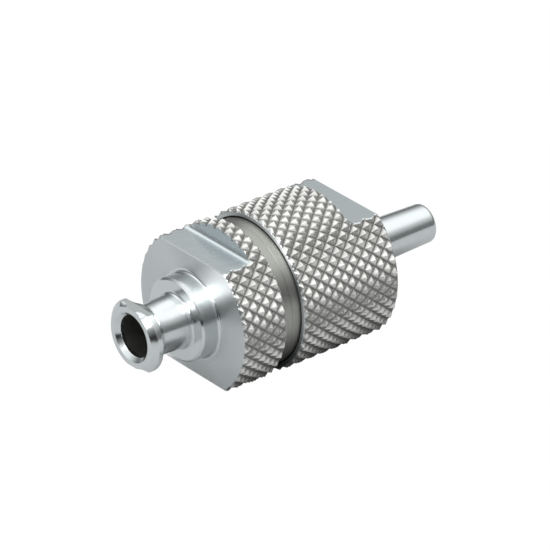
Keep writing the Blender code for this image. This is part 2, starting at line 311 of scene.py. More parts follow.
def grip_band(low, high, flat_length, flipped, knurl):
    """Knurled grip between two faces, with a pair of flats from one face to a wall square to X.

    The radius is the least of three: root plus depth times the knurl's height, a cone that rises
    from the face radius over the chamfer at each end, and a cone that breaks the wall's top edge.
    The flat meets the wall in a quarter-circle fillet.  On the wall x stays and the flat's height
    rises past the grip's radius.  flipped puts the flats at the high end.
    """
    start, end = low + knurl.chamfer, high - knurl.chamfer
    steps = round((end - start) / (knurl.length / 2))
    diamond = (end - start) / steps * 2
    face = face_radius(knurl)

    def radius(row, x, angle):
        height = knurl_height((x - start) / diamond, angle * STARTS / TAU)
        height = GRIP_R - knurl.depth * (1 - height)
        cone = face + np.minimum(x - low, high - x) * (GRIP_R - face) / knurl.chamfer
        beyond = (high - x if flipped else x - low) - flat_length
        over_wall = np.abs(np.sin(angle)) * GRIP_R - knurl.flat
        share = np.clip(over_wall / knurl.wall_edge, 0, 1) * (beyond > -1e-9)
        edge = GRIP_R - share * np.maximum(knurl.wall_edge - beyond, 0)
        return np.minimum(np.minimum(height, cone), edge)

    chamfer_rows = np.linspace(0, knurl.chamfer, CHAMFER_ROWS)[:-1]
    rows = np.arange(steps * COLUMNS_PER_START // 2 + 1)
    rows = knurl.chamfer + diamond / COLUMNS_PER_START * rows
    rows = np.concatenate([chamfer_rows, rows, (high - low) - chamfer_rows[::-1]])
    turn = np.linspace(0, math.pi / 2, FILLET_ROWS)
    fillet = flat_length - knurl.fillet * (1 - np.sin(turn))
    fillet_half = knurl.flat + knurl.fillet * (1 - np.cos(turn))
    wall_half = np.linspace(fillet_half[-1], GRIP_R * OFF_GRIP, WALL_ROWS)[1:]
    wall = np.full(len(wall_half), flat_length)
    edge = flat_length + knurl.wall_edge * np.array([0.5, 1.0])
    on_flat = rows[(rows > knurl.flat_edge) & (rows < flat_length - CLEAR * knurl.fillet)]
    past = rows[rows > flat_length + CLEAR * knurl.wall_edge]
    flat_half = np.full(len(on_flat) + 1, knurl.flat)
    free = np.full(len(edge) + len(past), NO_FLAT)
    place = np.concatenate([[0.0, knurl.flat_edge], on_flat, fillet, wall, edge, past])
    half = np.concatenate([[knurl.flat - knurl.flat_edge], flat_half, fillet_half, wall_half, free])
    if flipped:
        place, half = high - low - place[::-1], half[::-1]
    grip = clipped(low + place, half, radius, KNURLED)
    middle = (place[1:] + place[:-1]) / 2
    chamfered = np.minimum(middle, high - low - middle) < knurl.chamfer / 2
    grip["kinds"] = np.where(chamfered[:, None] & (grip["kinds"] == KNURLED), TURNED, grip["kinds"])
    return grip


def face_radius(knurl):
    """Radius of a grip's end face, inside its chamfer."""
    return GRIP_R - knurl.depth - knurl.face_step


def face_band(x, inner, knurl, flipped):
    """Flat end face from an inner circle to the outline of the grip with its flats."""
    outline = np.minimum(face_radius(knurl), over_flat(knurl.flat - knurl.flat_edge, turns(FINE)))
    share = np.linspace(0, 1, FACE_ROWS)[:, None]
    radius = inner + (outline - inner) * share
    return band(x, radius[::-1] if flipped else radius, TURNED)


def thread_band(start, end, root, screw, fade_in):
    """Right-hand thread on a root radius, from start to end along X.

    The radius is root + depth * height.  The height is a rounded triangle wave of x / pitch minus
    the turn, asin(crest * cos) scaled to 0..1, which fades out over half a pitch at an end.
    """
    rows = round((end - start) / screw.pitch * COLUMNS_PER_START)
    x = np.linspace(start, end, rows + 1)[:, None]
    phase = TAU * (x / screw.pitch - np.arange(COARSE)[None] / COARSE)
    wave = 0.5 + 0.5 * np.arcsin(CREST * np.cos(phase)) / math.asin(CREST)
    fade = np.minimum(1.0, (end - x) / screw.pitch * 2)
    if fade_in:
        fade = np.minimum(fade, (x - start) / screw.pitch * 2)
    return band(x, root + screw.depth * wave * fade, BORED)


def reversed_band(item):
    """The same rings in the opposite order."""
    return {**item, "points": item["points"][::-1], "kinds": item["kinds"][::-1]}


# ---------------------------------------------------------------- pieces


def cap_bands(cap, knurl, screw):
    """Rings of the inlet cap: lugged rim, hub, boss, knurled head, neck, threaded plug and bore."""
    boss_x = INLET_X + cap.hub_length
    head_end = CAP_X + cap.head_length
    mouth = cap.socket_radius + cap.socket_chamfer
    rim = mouth + cap.rim_width
    lug = rim + cap.lug_height
    hub = cap.socket_radius + cap.hub_wall
    lug_low = INLET_X + cap.lug_slope
    lug_high = lug_low + cap.lug_thickness
    lug_end = lug_high + cap.lug_back
    hub_start = lug_end + 1.0 * MM
    front_edge, lug_foot = 0.06 * MM, 0.45 * MM
    lugs = [(INLET_X, mouth), (INLET_X, rim), (lug_low, lug), (lug_high, lug), (lug_end, hub)]
    lugs = rounded(lugs + [(hub_start, hub)], [front_edge, EDGE, EDGE, lug_foot])

    def lug_radius(row, x, angle):
        return np.interp(row, np.arange(len(lugs)), lugs[:, 1]) + 0 * angle

    hub_base = hub + cap.hub_spread
    boss = hub_base + cap.boss_step
    boss_edge = 0.03 * MM
    shoulder = boss + cap.boss_fillet
    waist = rounded(
        [
            (hub_start + 0.2 * MM, hub + 0.005 * MM),
            (boss_x, hub_base),
            (boss_x, boss - cap.boss_chamfer),
            (boss_x + cap.boss_chamfer, boss),
            (CAP_X, boss),
            (CAP_X, shoulder + 0.5 * MM),
        ],
        [cap.hub_fillet, boss_edge, boss_edge, cap.boss_fillet],
    )[:-2]

    neck = cap.neck_radius
    seam = BODY_X - cap.seam_inset
    neck_end = BODY_X + cap.neck_inset
    root = screw.male_root
    seam_edge, seam_root, neck_edge, neck_foot = 0.02 * MM, 0.01 * MM, 0.12 * MM, 0.04 * MM
    collar = rounded(
        [
            (head_end, face_radius(knurl) - CORNER),
            (head_end, neck),
            (seam - cap.seam_width, neck),
            (seam, neck - cap.seam_width),
            (seam + cap.seam_width, neck),
            (neck_end, neck),
            (neck_end, root),
            (neck_end + EDGE, root),
        ],
        [EDGE, seam_edge, seam_root, seam_edge, neck_edge, neck_foot],
    )

    cord = RING_HIGH.x - RING_LOW.x
    groove_x = RING_LOW.x - screw.seal_gap
    outer = ring_radius(cord) + cord / 2 + screw.seal_gap
    inner = ring_radius(cord) - cord / 2 - screw.seal_gap
    plug_chamfer, funnel, groove_corner = 0.2 * MM, 0.6 * MM, 0.08 * MM
    socket_end = INLET_X + cap.socket_depth
    cone_start = cap.socket_radius - CONE * cap.socket_chamfer
    plug = rounded(
        [
            (PLUG_X - 0.45 * MM, root),
            (PLUG_X - plug_chamfer, root),
            (PLUG_X, root - plug_chamfer),
            (PLUG_X, outer),
            (groove_x, outer),
            (groove_x, inner),
            (PLUG_X, inner),
            (PLUG_X, inner - funnel),
            (PLUG_X - funnel, cap.bore_radius),
            (socket_end, cap.bore_radius),
            (socket_end, cap.socket_radius - cap.socket_depth * CONE),
            (INLET_X + 2 * cap.socket_chamfer, cone_start),
        ],
        [FINE_EDGE] * 2 + [groove_corner] * 4 + [FINE_EDGE] * 2 + [EDGE] * 2,
    )
    mouth_edge = 0.04 * MM
    chamfer = [
        (INLET_X + 1.9 * cap.socket_chamfer, cone_start),
        (INLET_X + cap.socket_chamfer, cap.socket_radius),
        (INLET_X + mouth_edge, mouth - mouth_edge),
    ]
    return [
        clipped(lugs[:, 0], lug - cap.lug_inset, lug_radius, POLISHED, POLISHED),
        plain(waist, POLISHED),
        face_band(CAP_X, shoulder + EDGE, knurl, False),
        grip_band(CAP_X, head_end, cap.flat_length, False, knurl),
        plain(collar, SHADED_COLLAR),
        thread_band(neck_end + 0.2 * MM, PLUG_X - 0.5 * MM, root, screw, True),
        plain(plug, BORED),
        plain(rounded(chamfer, [EDGE]), POLISHED),
    ]


def body_bands(body, knurl, screw):
    """Rings of the outlet body: knurled cup with two flats, tapered tip, bore and inner thread."""
    base = body.tip_radius + (TIP_X - BODY_END_X) * CONE
    cavity = screw.male_root + screw.clearance
    floor_x = BODY_END_X - body.flat_length - body.floor_thickness
    mouth, mouth_x = body.mouth_radius, BODY_X + body.mouth_depth
    foot, tip_edge, bore_edge, funnel = 0.3 * MM, 0.35 * MM, 0.12 * MM, 0.6 * MM
    tip = rounded(
        [
            (BODY_END_X, base + 2 * foot),
            (BODY_END_X, base),
            (TIP_X, body.tip_radius),
            (TIP_X, body.bore_radius),
            (floor_x + funnel, body.bore_radius),
            (floor_x, GASKET_HIGH.y - body.seat_width),
            (floor_x, cavity),
            (PLUG_X + EDGE, cavity),
        ],
        [foot, tip_edge, bore_edge, EDGE, EDGE, CORNER],
    )[2:]
    mouth_edge = 0.04 * MM
    return [
        plain([(BODY_X, mouth + mouth_edge), (BODY_X, mouth + EDGE)], TURNED),
        grip_band(BODY_X, BODY_END_X, body.flat_length, True, knurl),
        face_band(BODY_END_X, base + foot + EDGE, knurl, True),
        plain(tip, POLISHED),
        reversed_band(thread_band(mouth_x, PLUG_X, cavity, screw, False)),
        plain([(mouth_x, mouth), (BODY_X + mouth_edge, mouth)], BORED),
    ]


def ring_radius(cord):
    """Radius of the sealing ring's centre line: the frame's ring has ten sides round its cord."""
    return RING_HIGH.y - cord / 2 * math.sin(math.radians(72))


def torus(middle_x, radius, cord):
    """Band of rings round a cord: x - size cos turn, radius + size sin turn, with a flash line.

    The flash is a low ridge at the inner and outer side, where the halves of a mould meet.
    """
    turn = turns(CORD_ROWS)
    flash, flash_width = 0.012 * MM, 0.09
    size = cord / 2 - flash + flash * np.exp(-((np.cos(turn) / flash_width) ** 2))
    outline = np.stack([middle_x - size * np.cos(turn), radius + size * np.sin(turn)], -1)
    return plain(outline, TURNED)


def washer_outline(low, high, inner, outer, edge):
    """Rectangle with rounded corners, from the middle of its bore side outwards and back."""
    middle = (low + high) / 2
    corners = [(low, inner), (low, outer), (high, outer), (high, inner)]
    return rounded([(middle, inner), *corners, (middle, inner)], [edge] * 4)[:-1]


def disc_bands(low, high, radius, edge, grain):
    """Round plate whose faces are lifted by seeded noise, which fades out at its edge."""
    noise = np.random.default_rng(11)
    level = radius - 1.5 * edge
    radii = np.linspace(0.0, level, DISC_ROWS + 1)[1:]
    fade = np.minimum(1.0, (level - radii) / edge)[:, None]
    rows = np.repeat(radii[:, None], COARSE, axis=1)
    front = low + grain * noise.random(rows.shape) * fade
    back = high - grain * noise.random(rows.shape) * fade
    inside = radius - 1.4 * edge
    side = [(low, inside), (low, radius), (high, radius), (high, inside)]
    side = rounded(side, [edge] * 2)[1:-1]
    return [
        pole(low, TURNED),
        band(front, rows, TURNED),
        plain(side, TURNED),
        band(back[::-1], rows[::-1], TURNED),
        pole(high, TURNED),
    ]


def screen_mesh(name, low, high, radius, screen, materials):
    """Perforated plate: hexagonal cells round its holes, and a border from them out to its rim.

    A cell's point is centre + direction * reach, where reach goes from the hole's radius to the
    cell's side, half the pitch / cos(angle from the middle of that side).  The border goes from
    the free sides of the cells, in order of angle, straight out to the rim.
    """
    angle = turns(HOLE_POINTS)
    reach = screen.pitch / 2 / np.cos((angle + TAU / 12) % (TAU / 6) - TAU / 12)
    direction = np.stack([np.cos(angle), np.sin(angle)], -1)
    steps = np.arange(-HOLE_RINGS, HOLE_RINGS + 1)
    i, j = np.meshgrid(steps, steps)
    centres = screen.pitch * np.stack([i + j / 2, j * math.sqrt(3) / 2], -1)
    centres = centres[np.abs(i + j) <= HOLE_RINGS]
    hole, edge = screen.hole / 2, screen.edge
    wall = [(high, hole + edge), (high - edge, hole), (low + edge, hole), (low, hole + edge)]
    rings = [(high, reach)] + wall + [(low, reach)]
    sizes = [np.reshape(size, (-1, 1)) for _, size in rings]
    flat = np.stack([centres[:, None] + direction * size for size in sizes], 1)
    x = np.array([place for place, _ in rings])[:, None, None]
    cells = np.concatenate([np.broadcast_to(x, flat.shape[:3] + (1,)), flat], -1)
    index = np.arange(cells[..., 0].size).reshape(cells.shape[:3])
    faces = squares(index[:, :-1], index[:, 1:], np.zeros(index[:, 1:].shape, bool))

    keys = np.round(flat[:, 0].reshape(-1, 2) * WELD).astype(np.int64)
    keys, place = np.unique(keys, axis=0, return_inverse=True)
    ends = place.reshape(len(centres), -1)
    sides = np.sort(np.stack([ends, np.roll(ends, -1, axis=1)], -1).reshape(-1, 2), axis=1)
    sides, count = np.unique(sides, axis=0, return_counts=True)
    free = keys[np.unique(sides[count == 1])] / WELD
    turn = np.arctan2(free[:, 1], free[:, 0])
    order = np.argsort(turn)
    free, out = free[order], np.stack([np.cos(turn[order]), np.sin(turn[order])], -1)
    border = [(low, free), (low, out * (radius - edge)), (low + edge, out * radius)]
    border += [(high - edge, out * radius), (high, out * (radius - edge)), (high, free)]
    border = np.stack([np.insert(flat, 0, place, axis=1) for place, flat in border])
    index = index.size + np.arange(border[..., 0].size).reshape(border.shape[:2])
    faces += squares(index[:-1], index[1:], np.zeros(index[1:].shape, bool))
    faces = np.concatenate(faces)
    points = np.concatenate([cells.reshape(-1, 3), border.reshape(-1, 3)])
    return make_mesh(name, points, faces, np.full(len(faces), MILLED), materials)


# ---------------------------------------------------------------- materials


def feed(tree, node, inputs):
    """Set a node's inputs, by name or index: a socket is linked and a value is written."""
    for key, value in inputs.items():
        if isinstance(value, bpy.types.NodeSocket):
            tree.links.new(value, node.inputs[key])
        else:
            node.inputs[key].default_value = value


def add_node(tree, kind, inputs=None, **settings):
    """Add a node with its properties and inputs, and return its outputs."""
    node = tree.nodes.new(kind)
    for key, value in settings.items():
        setattr(node, key, value)
    feed(tree, node, inputs or {})
    return node.outputs


def math_node(tree, operation, *values, clamp=False):
    """Output of a Math node on numbers or sockets."""
    inputs = dict(enumerate(values))
    return add_node(tree, "ShaderNodeMath", inputs, operation=operation, use_clamp=clamp)[0]


def mix_colors(tree, share, first, second, blend="MIX"):
    """Output of a colour Mix node."""
    inputs = {0: share, 6: first, 7: second}
    return add_node(tree, "ShaderNodeMix", inputs, data_type="RGBA", blend_type=blend)[2]


def noise(tree, vector, scale, detail, roughness):
    """Value of a Noise Texture, from 0 to 1."""
    inputs = {"Vector": vector, "Scale": scale, "Detail": detail, "Roughness": roughness}
    return add_node(tree, "ShaderNodeTexNoise", inputs)["Fac"]


def split_vector(tree, vector):
    """Sockets of a vector's x, y and z."""
    return add_node(tree, "ShaderNodeSeparateXYZ", {0: vector})


def join_vector(tree, *parts):
    """Vector of sockets for its x, y and z, with 0 for those left out."""
    return add_node(tree, "ShaderNodeCombineXYZ", dict(enumerate(parts)))[0]


def hypotenuse(tree, first, second):
    """Square root of the sum of two squares."""
    both = [math_node(tree, "MULTIPLY", part, part) for part in (first, second)]
    return math_node(tree, "SQRT", math_node(tree, "ADD", *both))


def new_group(name, inputs, outputs):
    """Make a shader node group with a Position and named inputs and outputs.

    The length of an input's default chooses its kind: a number, a vector or a colour.  An output
    is a colour if it is called Color, and a number otherwise.
    """
    kinds = {1: "NodeSocketFloat", 3: "NodeSocketVector", 4: "NodeSocketColor"}
    group = bpy.data.node_groups.new(name, "ShaderNodeTree")
    sockets = group.interface
    sockets.new_socket("Position", in_out="INPUT", socket_type="NodeSocketVector")
    for label, default in inputs.items():
        kind = kinds[np.size(default)]
        sockets.new_socket(label, in_out="INPUT", socket_type=kind).default_value = default
    for label in outputs:
        kind = kinds[4 if label == "Color" else 1]
        sockets.new_socket(label, in_out="OUTPUT", socket_type=kind)
    leave = group.nodes.new("NodeGroupOutput")
    leave.location = (800, 0)
    return group, add_node(group, "NodeGroupInput", location=(-800, 0)), leave


def turning_group():
    """Fine lines that a lathe leaves.

    They are noise of x and of the distance from the axis, much stretched round the axis.
    """
    group, entry, leave = new_group("Turning Lines", {"Lines per mm": 8.0}, ["Lines"])
    x, y, z = split_vector(group, entry["Position"])
    density = math_node(group, "MULTIPLY", entry["Lines per mm"], 1000.0)
    around = math_node(group, "COSINE", math_node(group, "ARCTAN2", z, y))
    spread = join_vector(
        group,
        math_node(group, "MULTIPLY", x, density),
        math_node(group, "MULTIPLY", hypotenuse(group, y, z), density),
        math_node(group, "MULTIPLY", around, 0.6),
    )
    feed(group, leave, {"Lines": noise(group, spread, 1.0, 3.0, 0.6)})
    return group


def milling_group():
    """Lines that an end mill leaves on a flat.

    They are arcs round a centre far to one side: noise of the distance from it.
    """
    inputs = {"Centre": (0.0, 0.03, 0.0), "Lines per mm": 7.0}
    group, entry, leave = new_group("Milling Lines", inputs, ["Lines"])
    places = {0: entry["Position"], 1: entry["Centre"]}
    away = add_node(group, "ShaderNodeVectorMath", places, operation="SUBTRACT")[0]
    x, y, _ = split_vector(group, away)
    density = math_node(group, "MULTIPLY", entry["Lines per mm"], 1000.0)
    spread = join_vector(
        group,
        math_node(group, "MULTIPLY", hypotenuse(group, x, y), density),
        math_node(group, "MULTIPLY", x, 150.0),
    )
    feed(group, leave, {"Lines": noise(group, spread, 1.0, 3.0, 0.55)})
    return group


def handling_group():
    """Soft clouds and small dark specks, as fingers and cleaning leave them on bright metal."""
    inputs = {"Clean": (0.6, 0.6, 0.6, 1.0), "Dull": (0.5, 0.5, 0.5, 1.0)}
    inputs |= {"Cloud size mm": 3.0, "Amount": 0.5}
    group, entry, leave = new_group("Handling Marks", inputs, ["Color", "Cloud"])
    scale = math_node(group, "DIVIDE", 1000.0, entry["Cloud size mm"])
    inputs = {0: entry["Position"], "Scale": scale}
    sized = add_node(group, "ShaderNodeVectorMath", inputs, operation="SCALE")[0]
    cloud = noise(group, sized, 1.0, 4.0, 0.6)
    specks = noise(group, sized, 9.0, 2.0, 0.5)
    speck = math_node(group, "SUBTRACT", specks, 0.66, clamp=True)
    speck = math_node(group, "MULTIPLY", speck, 4.0)
    dull = math_node(group, "MULTIPLY", cloud, entry["Amount"])
    dull = math_node(group, "ADD", dull, speck, clamp=True)
    shade = mix_colors(group, dull, entry["Clean"], entry["Dull"])
    feed(group, leave, {"Color": shade, "Cloud": cloud})
    return group


def groove_group():
    """Shade in the grooves of a knurl: 1 at the root radius and below, 0 at the tip radius."""
    inputs = {"Root mm": 7.9, "Tip mm": 8.25}
    inputs |= {"Tips": (0.7, 0.7, 0.7, 1.0), "Grooves": (0.2, 0.2, 0.2, 1.0)}
    group, entry, leave = new_group("Groove Shade", inputs, ["Color", "Depth"])
    _, y, z = split_vector(group, entry["Position"])
    radius = math_node(group, "MULTIPLY", hypotenuse(group, y, z), 1000.0)
    above = math_node(group, "SUBTRACT", radius, entry["Root mm"])
    height = math_node(group, "SUBTRACT", entry["Tip mm"], entry["Root mm"])
    depth = math_node(group, "DIVIDE", above, height)
    depth = math_node(group, "SUBTRACT", 1.0, depth, clamp=True)
    shade = mix_colors(group, depth, entry["Tips"], entry["Grooves"])
    feed(group, leave, {"Color": shade, "Depth": depth})
    return group


def grain_group():
    """Rounded grains of a sintered or moulded surface, from distances to scattered points."""
    group, entry, leave = new_group("Grain", {"Grain mm": 0.1}, ["Grain", "Height"])
    scale = math_node(group, "DIVIDE", 1000.0, entry["Grain mm"])
    inputs = {"Vector": entry["Position"], "Scale": scale}
    distance = add_node(group, "ShaderNodeTexVoronoi", inputs)["Distance"]
    height = math_node(group, "SUBTRACT", 1.0, distance)
    feed(group, leave, {"Grain": distance, "Height": height})
    return group


GROUPS = {
    "Turning Lines": turning_group,
    "Milling Lines": milling_group,
    "Handling Marks": handling_group,
    "Groove Shade": groove_group,
    "Grain": grain_group,
}


def use_group(tree, name, position, inputs=None):
    """Place a group in a material with its position and other inputs, and return its outputs.

    The group is made at its first use and shared by its name.
    """
    node = tree.nodes.new("ShaderNodeGroup")
    node.node_tree = bpy.data.node_groups.get(name) or GROUPS[name]()
    feed(tree, node, {"Position": position, **(inputs or {})})
    return node.outputs


def new_material(name):
    """Make an empty material: its tree, its shader and its Object coordinates."""
    material = bpy.data.materials.new(name)
    material.use_nodes = True
    tree = material.node_tree
    coordinates = add_node(tree, "ShaderNodeTexCoord", location=(-1200, 0))
    return material, tree, tree.nodes["Principled BSDF"], coordinates["Object"]


def feed_shader(tree, shader, paint, rough, height, depth, metallic=1.0):
    """Feed the shader's colour, its roughness and, by way of a Bump node, its normal."""
    inputs = {"Strength": 1.0, "Distance": depth, "Height": height}
    normal = add_node(tree, "ShaderNodeBump", inputs, location=(-250, -300))["Normal"]
    inputs = {"Base Color": paint, "Roughness": rough, "Metallic": metallic, "Normal": normal}
    feed(tree, shader, inputs)


def spread_value(tree, value, low, high):
    """Map 0..1 to low..high."""
    scaled = math_node(tree, "MULTIPLY", value, high - low)
    return math_node(tree, "ADD", scaled, low, clamp=True)


def rgba(color, share=1.0):
    """Colour with an alpha of 1, scaled by a share."""
    return tuple(part * share for part in color) + (1.0,)


def clouded(tree, position, color, share, amount=0.5):
    """Handling marks on a colour, which fall to a share of it where they are dull."""
    inputs = {"Clean": rgba(color), "Dull": rgba(color, share), "Amount": amount}
    return use_group(tree, "Handling Marks", position, inputs)


def turned_steel(name, color, rough, lines, depth, streak):
    """Steel off the lathe: rings of fine lines, and a highlight drawn out across them by streak."""
    material, tree, shader, position = new_material(name)
    marks = use_group(tree, "Turning Lines", position, {"Lines per mm": lines})["Lines"]
    clouds = clouded(tree, position, color, 0.86)["Color"]
    paint = mix_colors(tree, 0.12, clouds, marks, "MULTIPLY")
    rough = spread_value(tree, marks, rough - 0.05, rough + 0.05)
    feed_shader(tree, shader, paint, rough, marks, depth)
    if streak:
        tangent = add_node(tree, "ShaderNodeTangent", direction_type="RADIAL", axis="X")[0]
        inputs = {"Anisotropic": streak, "Anisotropic Rotation": 0.25, "Tangent": tangent}
        feed(tree, shader, inputs)
    return material


def milled_steel(name, color, rough):
    """Steel under an end mill: long arcs across the flat."""
    material, tree, shader, position = new_material(name)
    marks = use_group(tree, "Milling Lines", position)["Lines"]
    clouds = clouded(tree, position, color, 0.9, 0.6)["Color"]
    paint = mix_colors(tree, 0.15, clouds, marks, "MULTIPLY")
    rough = spread_value(tree, marks, rough - 0.06, rough + 0.06)
    feed_shader(tree, shader, paint, rough, marks, 0.0003 * MM)
    return material


def knurled_steel(name, color, rough, knurl):
    """Cut knurl: bright worn tips, grooves darkened by painted shade and made rougher, and a rolled
    grain.
    """
    material, tree, shader, position = new_material(name)
    root = (GRIP_R - knurl.depth) / MM
    # Painted shade: the grooves' colour falls to 0.3 of the tips' colour at the root radius.
    inputs = {"Tips": rgba(color), "Grooves": rgba(color, 0.3)}
    inputs |= {"Root mm": root, "Tip mm": root + 0.4 * knurl.depth / MM}
    shade = use_group(tree, "Groove Shade", position, inputs)
    inputs = {"Clean": rgba((1, 1, 1)), "Dull": rgba((0.72, 0.72, 0.70))}
    inputs |= {"Amount": 0.6, "Cloud size mm": 0.7}
    clouds = use_group(tree, "Handling Marks", position, inputs)["Color"]
    grain = use_group(tree, "Grain", position, {"Grain mm": 0.16})["Height"]
    paint = mix_colors(tree, 1.0, shade["Color"], clouds, "MULTIPLY")
    rough = spread_value(tree, shade["Depth"], rough, rough + 0.2)
    feed_shader(tree, shader, paint, rough, grain, 0.012 * MM)
    return material


def grained(name, color, deep, rough, grain, depth):
    """Matt rubber, ceramic or polymer: a grain that is darker between its grains."""
    material, tree, shader, position = new_material(name)
    grains = use_group(tree, "Grain", position, {"Grain mm": grain})
    clouds = clouded(tree, position, color, 0.92)
    paint = mix_colors(tree, grains["Grain"], clouds["Color"], rgba(deep))
    rough = spread_value(tree, clouds["Cloud"], rough - 0.06, rough + 0.06)
    feed_shader(tree, shader, paint, rough, grains["Height"], depth, metallic=0.0)
    return material


def steels(owner, finish, knurl):
    """The six steel finishes of a housing half, by kind of surface."""

    def turned(label, *values):
        return turned_steel(f"{owner} {label} steel", *values)

    return {
        TURNED: turned("faced", finish.steel, 0.38, 7.0, 0.0002 * MM, 0.95),
        MILLED: milled_steel(f"{owner} milled steel", finish.milled, 0.26),
        KNURLED: knurled_steel(f"{owner} knurled steel", finish.knurl, 0.26, knurl),
        POLISHED: turned("turned", finish.steel, 0.2, 9.0, 0.0003 * MM, 0.5),
        BORED: turned("bored", finish.bored, 0.4, 6.0, 0.002 * MM, 0.0),
        # The collar's colour is darker than the other steel: painted shade for the deep gap between
        # the two grips.
        SHADED_COLLAR: turned("collar", finish.collar, 0.38, 9.0, 0.0006 * MM, 0.6),
    }


# ---------------------------------------------------------------- settings


def length(name, description, millimetres):
    """Length property in metres with its default in millimetres."""
    return FloatProperty(
        name=name,
        description=description,
        default=millimetres * MM,
        unit="LENGTH",
        subtype="DISTANCE",
        precision=5,
    )


class GripSettings(bpy.types.PropertyGroup):
    """Knurl and flats of both halves."""

    length: length("Diamond length", "Length of one knurl diamond along the axis", 1.48)
    depth: length("Knurl depth", "From the grooves to the tips", 0.35)
    chamfer: length("End chamfer", "Length of the chamfer at each end of a grip", 0.3)
    face_step: length("Face step", "How far the end face stays inside the knurl's grooves", 0.02)
    flat: length("Flat height", "From the axis to a wrench flat", CAP_FLAT / MM)
    flat_edge: length("Flat edge", "Broken edge where a flat meets the end face", 0.1)
    fillet: length("Flat fillet", "Fillet between a flat and the wall at its end", 0.42)
    wall_edge: length("Wall edge", "Broken top edge of the wall", 0.14)


class ThreadSettings(bpy.types.PropertyGroup):
    """Screw joint and the groove of its seal."""

    pitch: length("Pitch", "Travel for one turn", 1.0)
    depth: length("Depth", "From the root to the crest", 0.5)
    male_root: length("Male root radius", "Root of the cap's thread", 6.7)
    clearance: length("Clearance", "Gap between the two threads", 0.12)
    seal_gap: length("Seal gap", "Room round the sealing ring in its groove", 0.1)


class CapSettings(bpy.types.PropertyGroup):
    """Inlet cap."""

    hub_length: length("Hub length", "From the rim to the boss", 5.4)
    head_length: length("Head length", "Length of the knurled head", 5.2)
    flat_length: length("Flat length", "Length of the two wrench flats", 3.4)
    socket_radius: length("Socket radius", "Conical socket at its mouth", 2.135)
    socket_depth: length("Socket depth", "Depth of the conical socket", 7.5)
    socket_chamfer: length("Socket chamfer", "Chamfer at the socket's mouth", 0.42)
    bore_radius: length("Bore radius", "Flow bore", 1.0)
    rim_width: length("Rim width", "Flat front of the rim", 0.55)
    lug_height: length("Lug height", "How far the lugs stand out from the rim", 0.6)
    lug_slope: length("Lug slope", "Length of the slope in front of the lugs", 0.5)
    lug_thickness: length("Lug thickness", "Length of the lugs' land", 0.55)
    lug_back: length("Lug back", "Length of the slope behind the lugs", 0.8)
    lug_inset: length("Lug inset", "Depth of the two flats on the lugs", 0.66)
    hub_wall: length("Hub wall", "From the socket's radius to the hub's", 0.47)
    hub_spread: length("Hub spread", "How much the hub widens towards the boss", 0.14)
    hub_fillet: length("Hub fillet", "Fillet between hub and boss", 0.25)
    boss_step: length("Boss step", "From the hub's radius to the boss's", 1.5)
    boss_chamfer: length("Boss chamfer", "Chamfer on the boss's front edge", 0.2)
    boss_fillet: length("Boss fillet", "Fillet between boss and face", 0.28)
    neck_radius: length("Neck radius", "Plain collar between the two grips", 7.4)
    neck_inset: length("Neck inset", "How far the collar goes into the body", 0.9)
    seam_inset: length("Seam inset", "From the body's face to the fine groove on the collar", 0.97)
    seam_width: length("Seam width", "Half the width, and the depth, of the fine groove", 0.07)


class BodySettings(bpy.types.PropertyGroup):
    """Outlet body."""

    flat_length: length("Flat length", "Length of the two wrench flats", 3.6)
    floor_thickness: length("Floor thickness", "From the cup's floor to the flats' wall", 1.0)
    mouth_radius: length("Mouth radius", "Counterbore that takes the cap's collar", 7.52)
    mouth_depth: length("Mouth depth", "Depth of the counterbore", 1.0)
    tip_radius: length("Tip radius", "Outlet tip at its end", 2.0)
    bore_radius: length("Bore radius", "Flow bore", 1.0)
    seat_width: length("Seat width", "Width of the gasket's seat", 1.7)


class ScreenSettings(bpy.types.PropertyGroup):
    """Support screen."""

    hole: length("Hole", "Diameter of a hole", 0.9)
    pitch: length("Pitch", "From hole to hole", 1.4)
    edge: length("Edge", "Broken edge of holes and rim", 0.05)


def color(name, description, values):
    """Colour property."""
    return FloatVectorProperty(
        name=name, description=description, default=values, subtype="COLOR", min=0.0, max=1.0
    )


class FinishSettings(bpy.types.PropertyGroup):
    """Colours of the pieces."""

    steel: color("Steel", "Turned steel", (0.80, 0.832, 0.840))
    milled: color("Milled steel", "Wrench flats", (0.77, 0.83, 0.85))
    knurl: color("Knurl", "Tips of the knurled steel", (0.88, 0.87, 0.845))
    # Painted shade: the collar's steel is darker than the rest, for the deep gap between the two
    # grips.
    collar: color("Collar steel", "Collar between the two grips", (0.45, 0.45, 0.42))
    bored: color("Bored steel", "Bores and threads", (0.34, 0.34, 0.32))
    screen: color("Screen", "Etched sheet", (0.62, 0.63, 0.63))
    rubber: color("Rubber", "Sealing ring", (0.03, 0.03, 0.032))
    ceramic: color("Ceramic", "Porous disc", (0.80, 0.79, 0.75))
    gasket: color("Gasket", "Flat gasket", (0.85, 0.85, 0.83))


def bearing(name, description, degrees):
    """Angle property with its default in degrees."""
    return FloatProperty(
        name=name, description=description, default=math.radians(degrees), subtype="ANGLE"
    )


class StudioSettings(bpy.types.PropertyGroup):
    """Camera and floor."""

    azimuth: bearing("Azimuth", "Camera's turn from -Y towards +X", -39.4)
    elevation: bearing("Elevation", "Camera's height above the horizon", 28.58)
    distance: length("Distance", "From the camera to its aim", 485.3)
    lens: FloatProperty(name="Lens", description="Focal length in millimetres", default=328.7)
    aim: FloatVectorProperty(
        name="Aim",
        description="Point that the camera looks at",
        default=(-0.96 * MM, -0.30 * MM, 0.89 * MM),
        subtype="TRANSLATION",
    )
    floor: color("Floor", "Pale floor", (0.58, 0.585, 0.59))


# ---------------------------------------------------------------- studio

# Half the floor's width in metres, and its white as the camera sees it: share and radiance
FLOOR_SIZE = 3.0
FLOOR_SHARE = 0.97
FLOOR_WHITE = 1.03
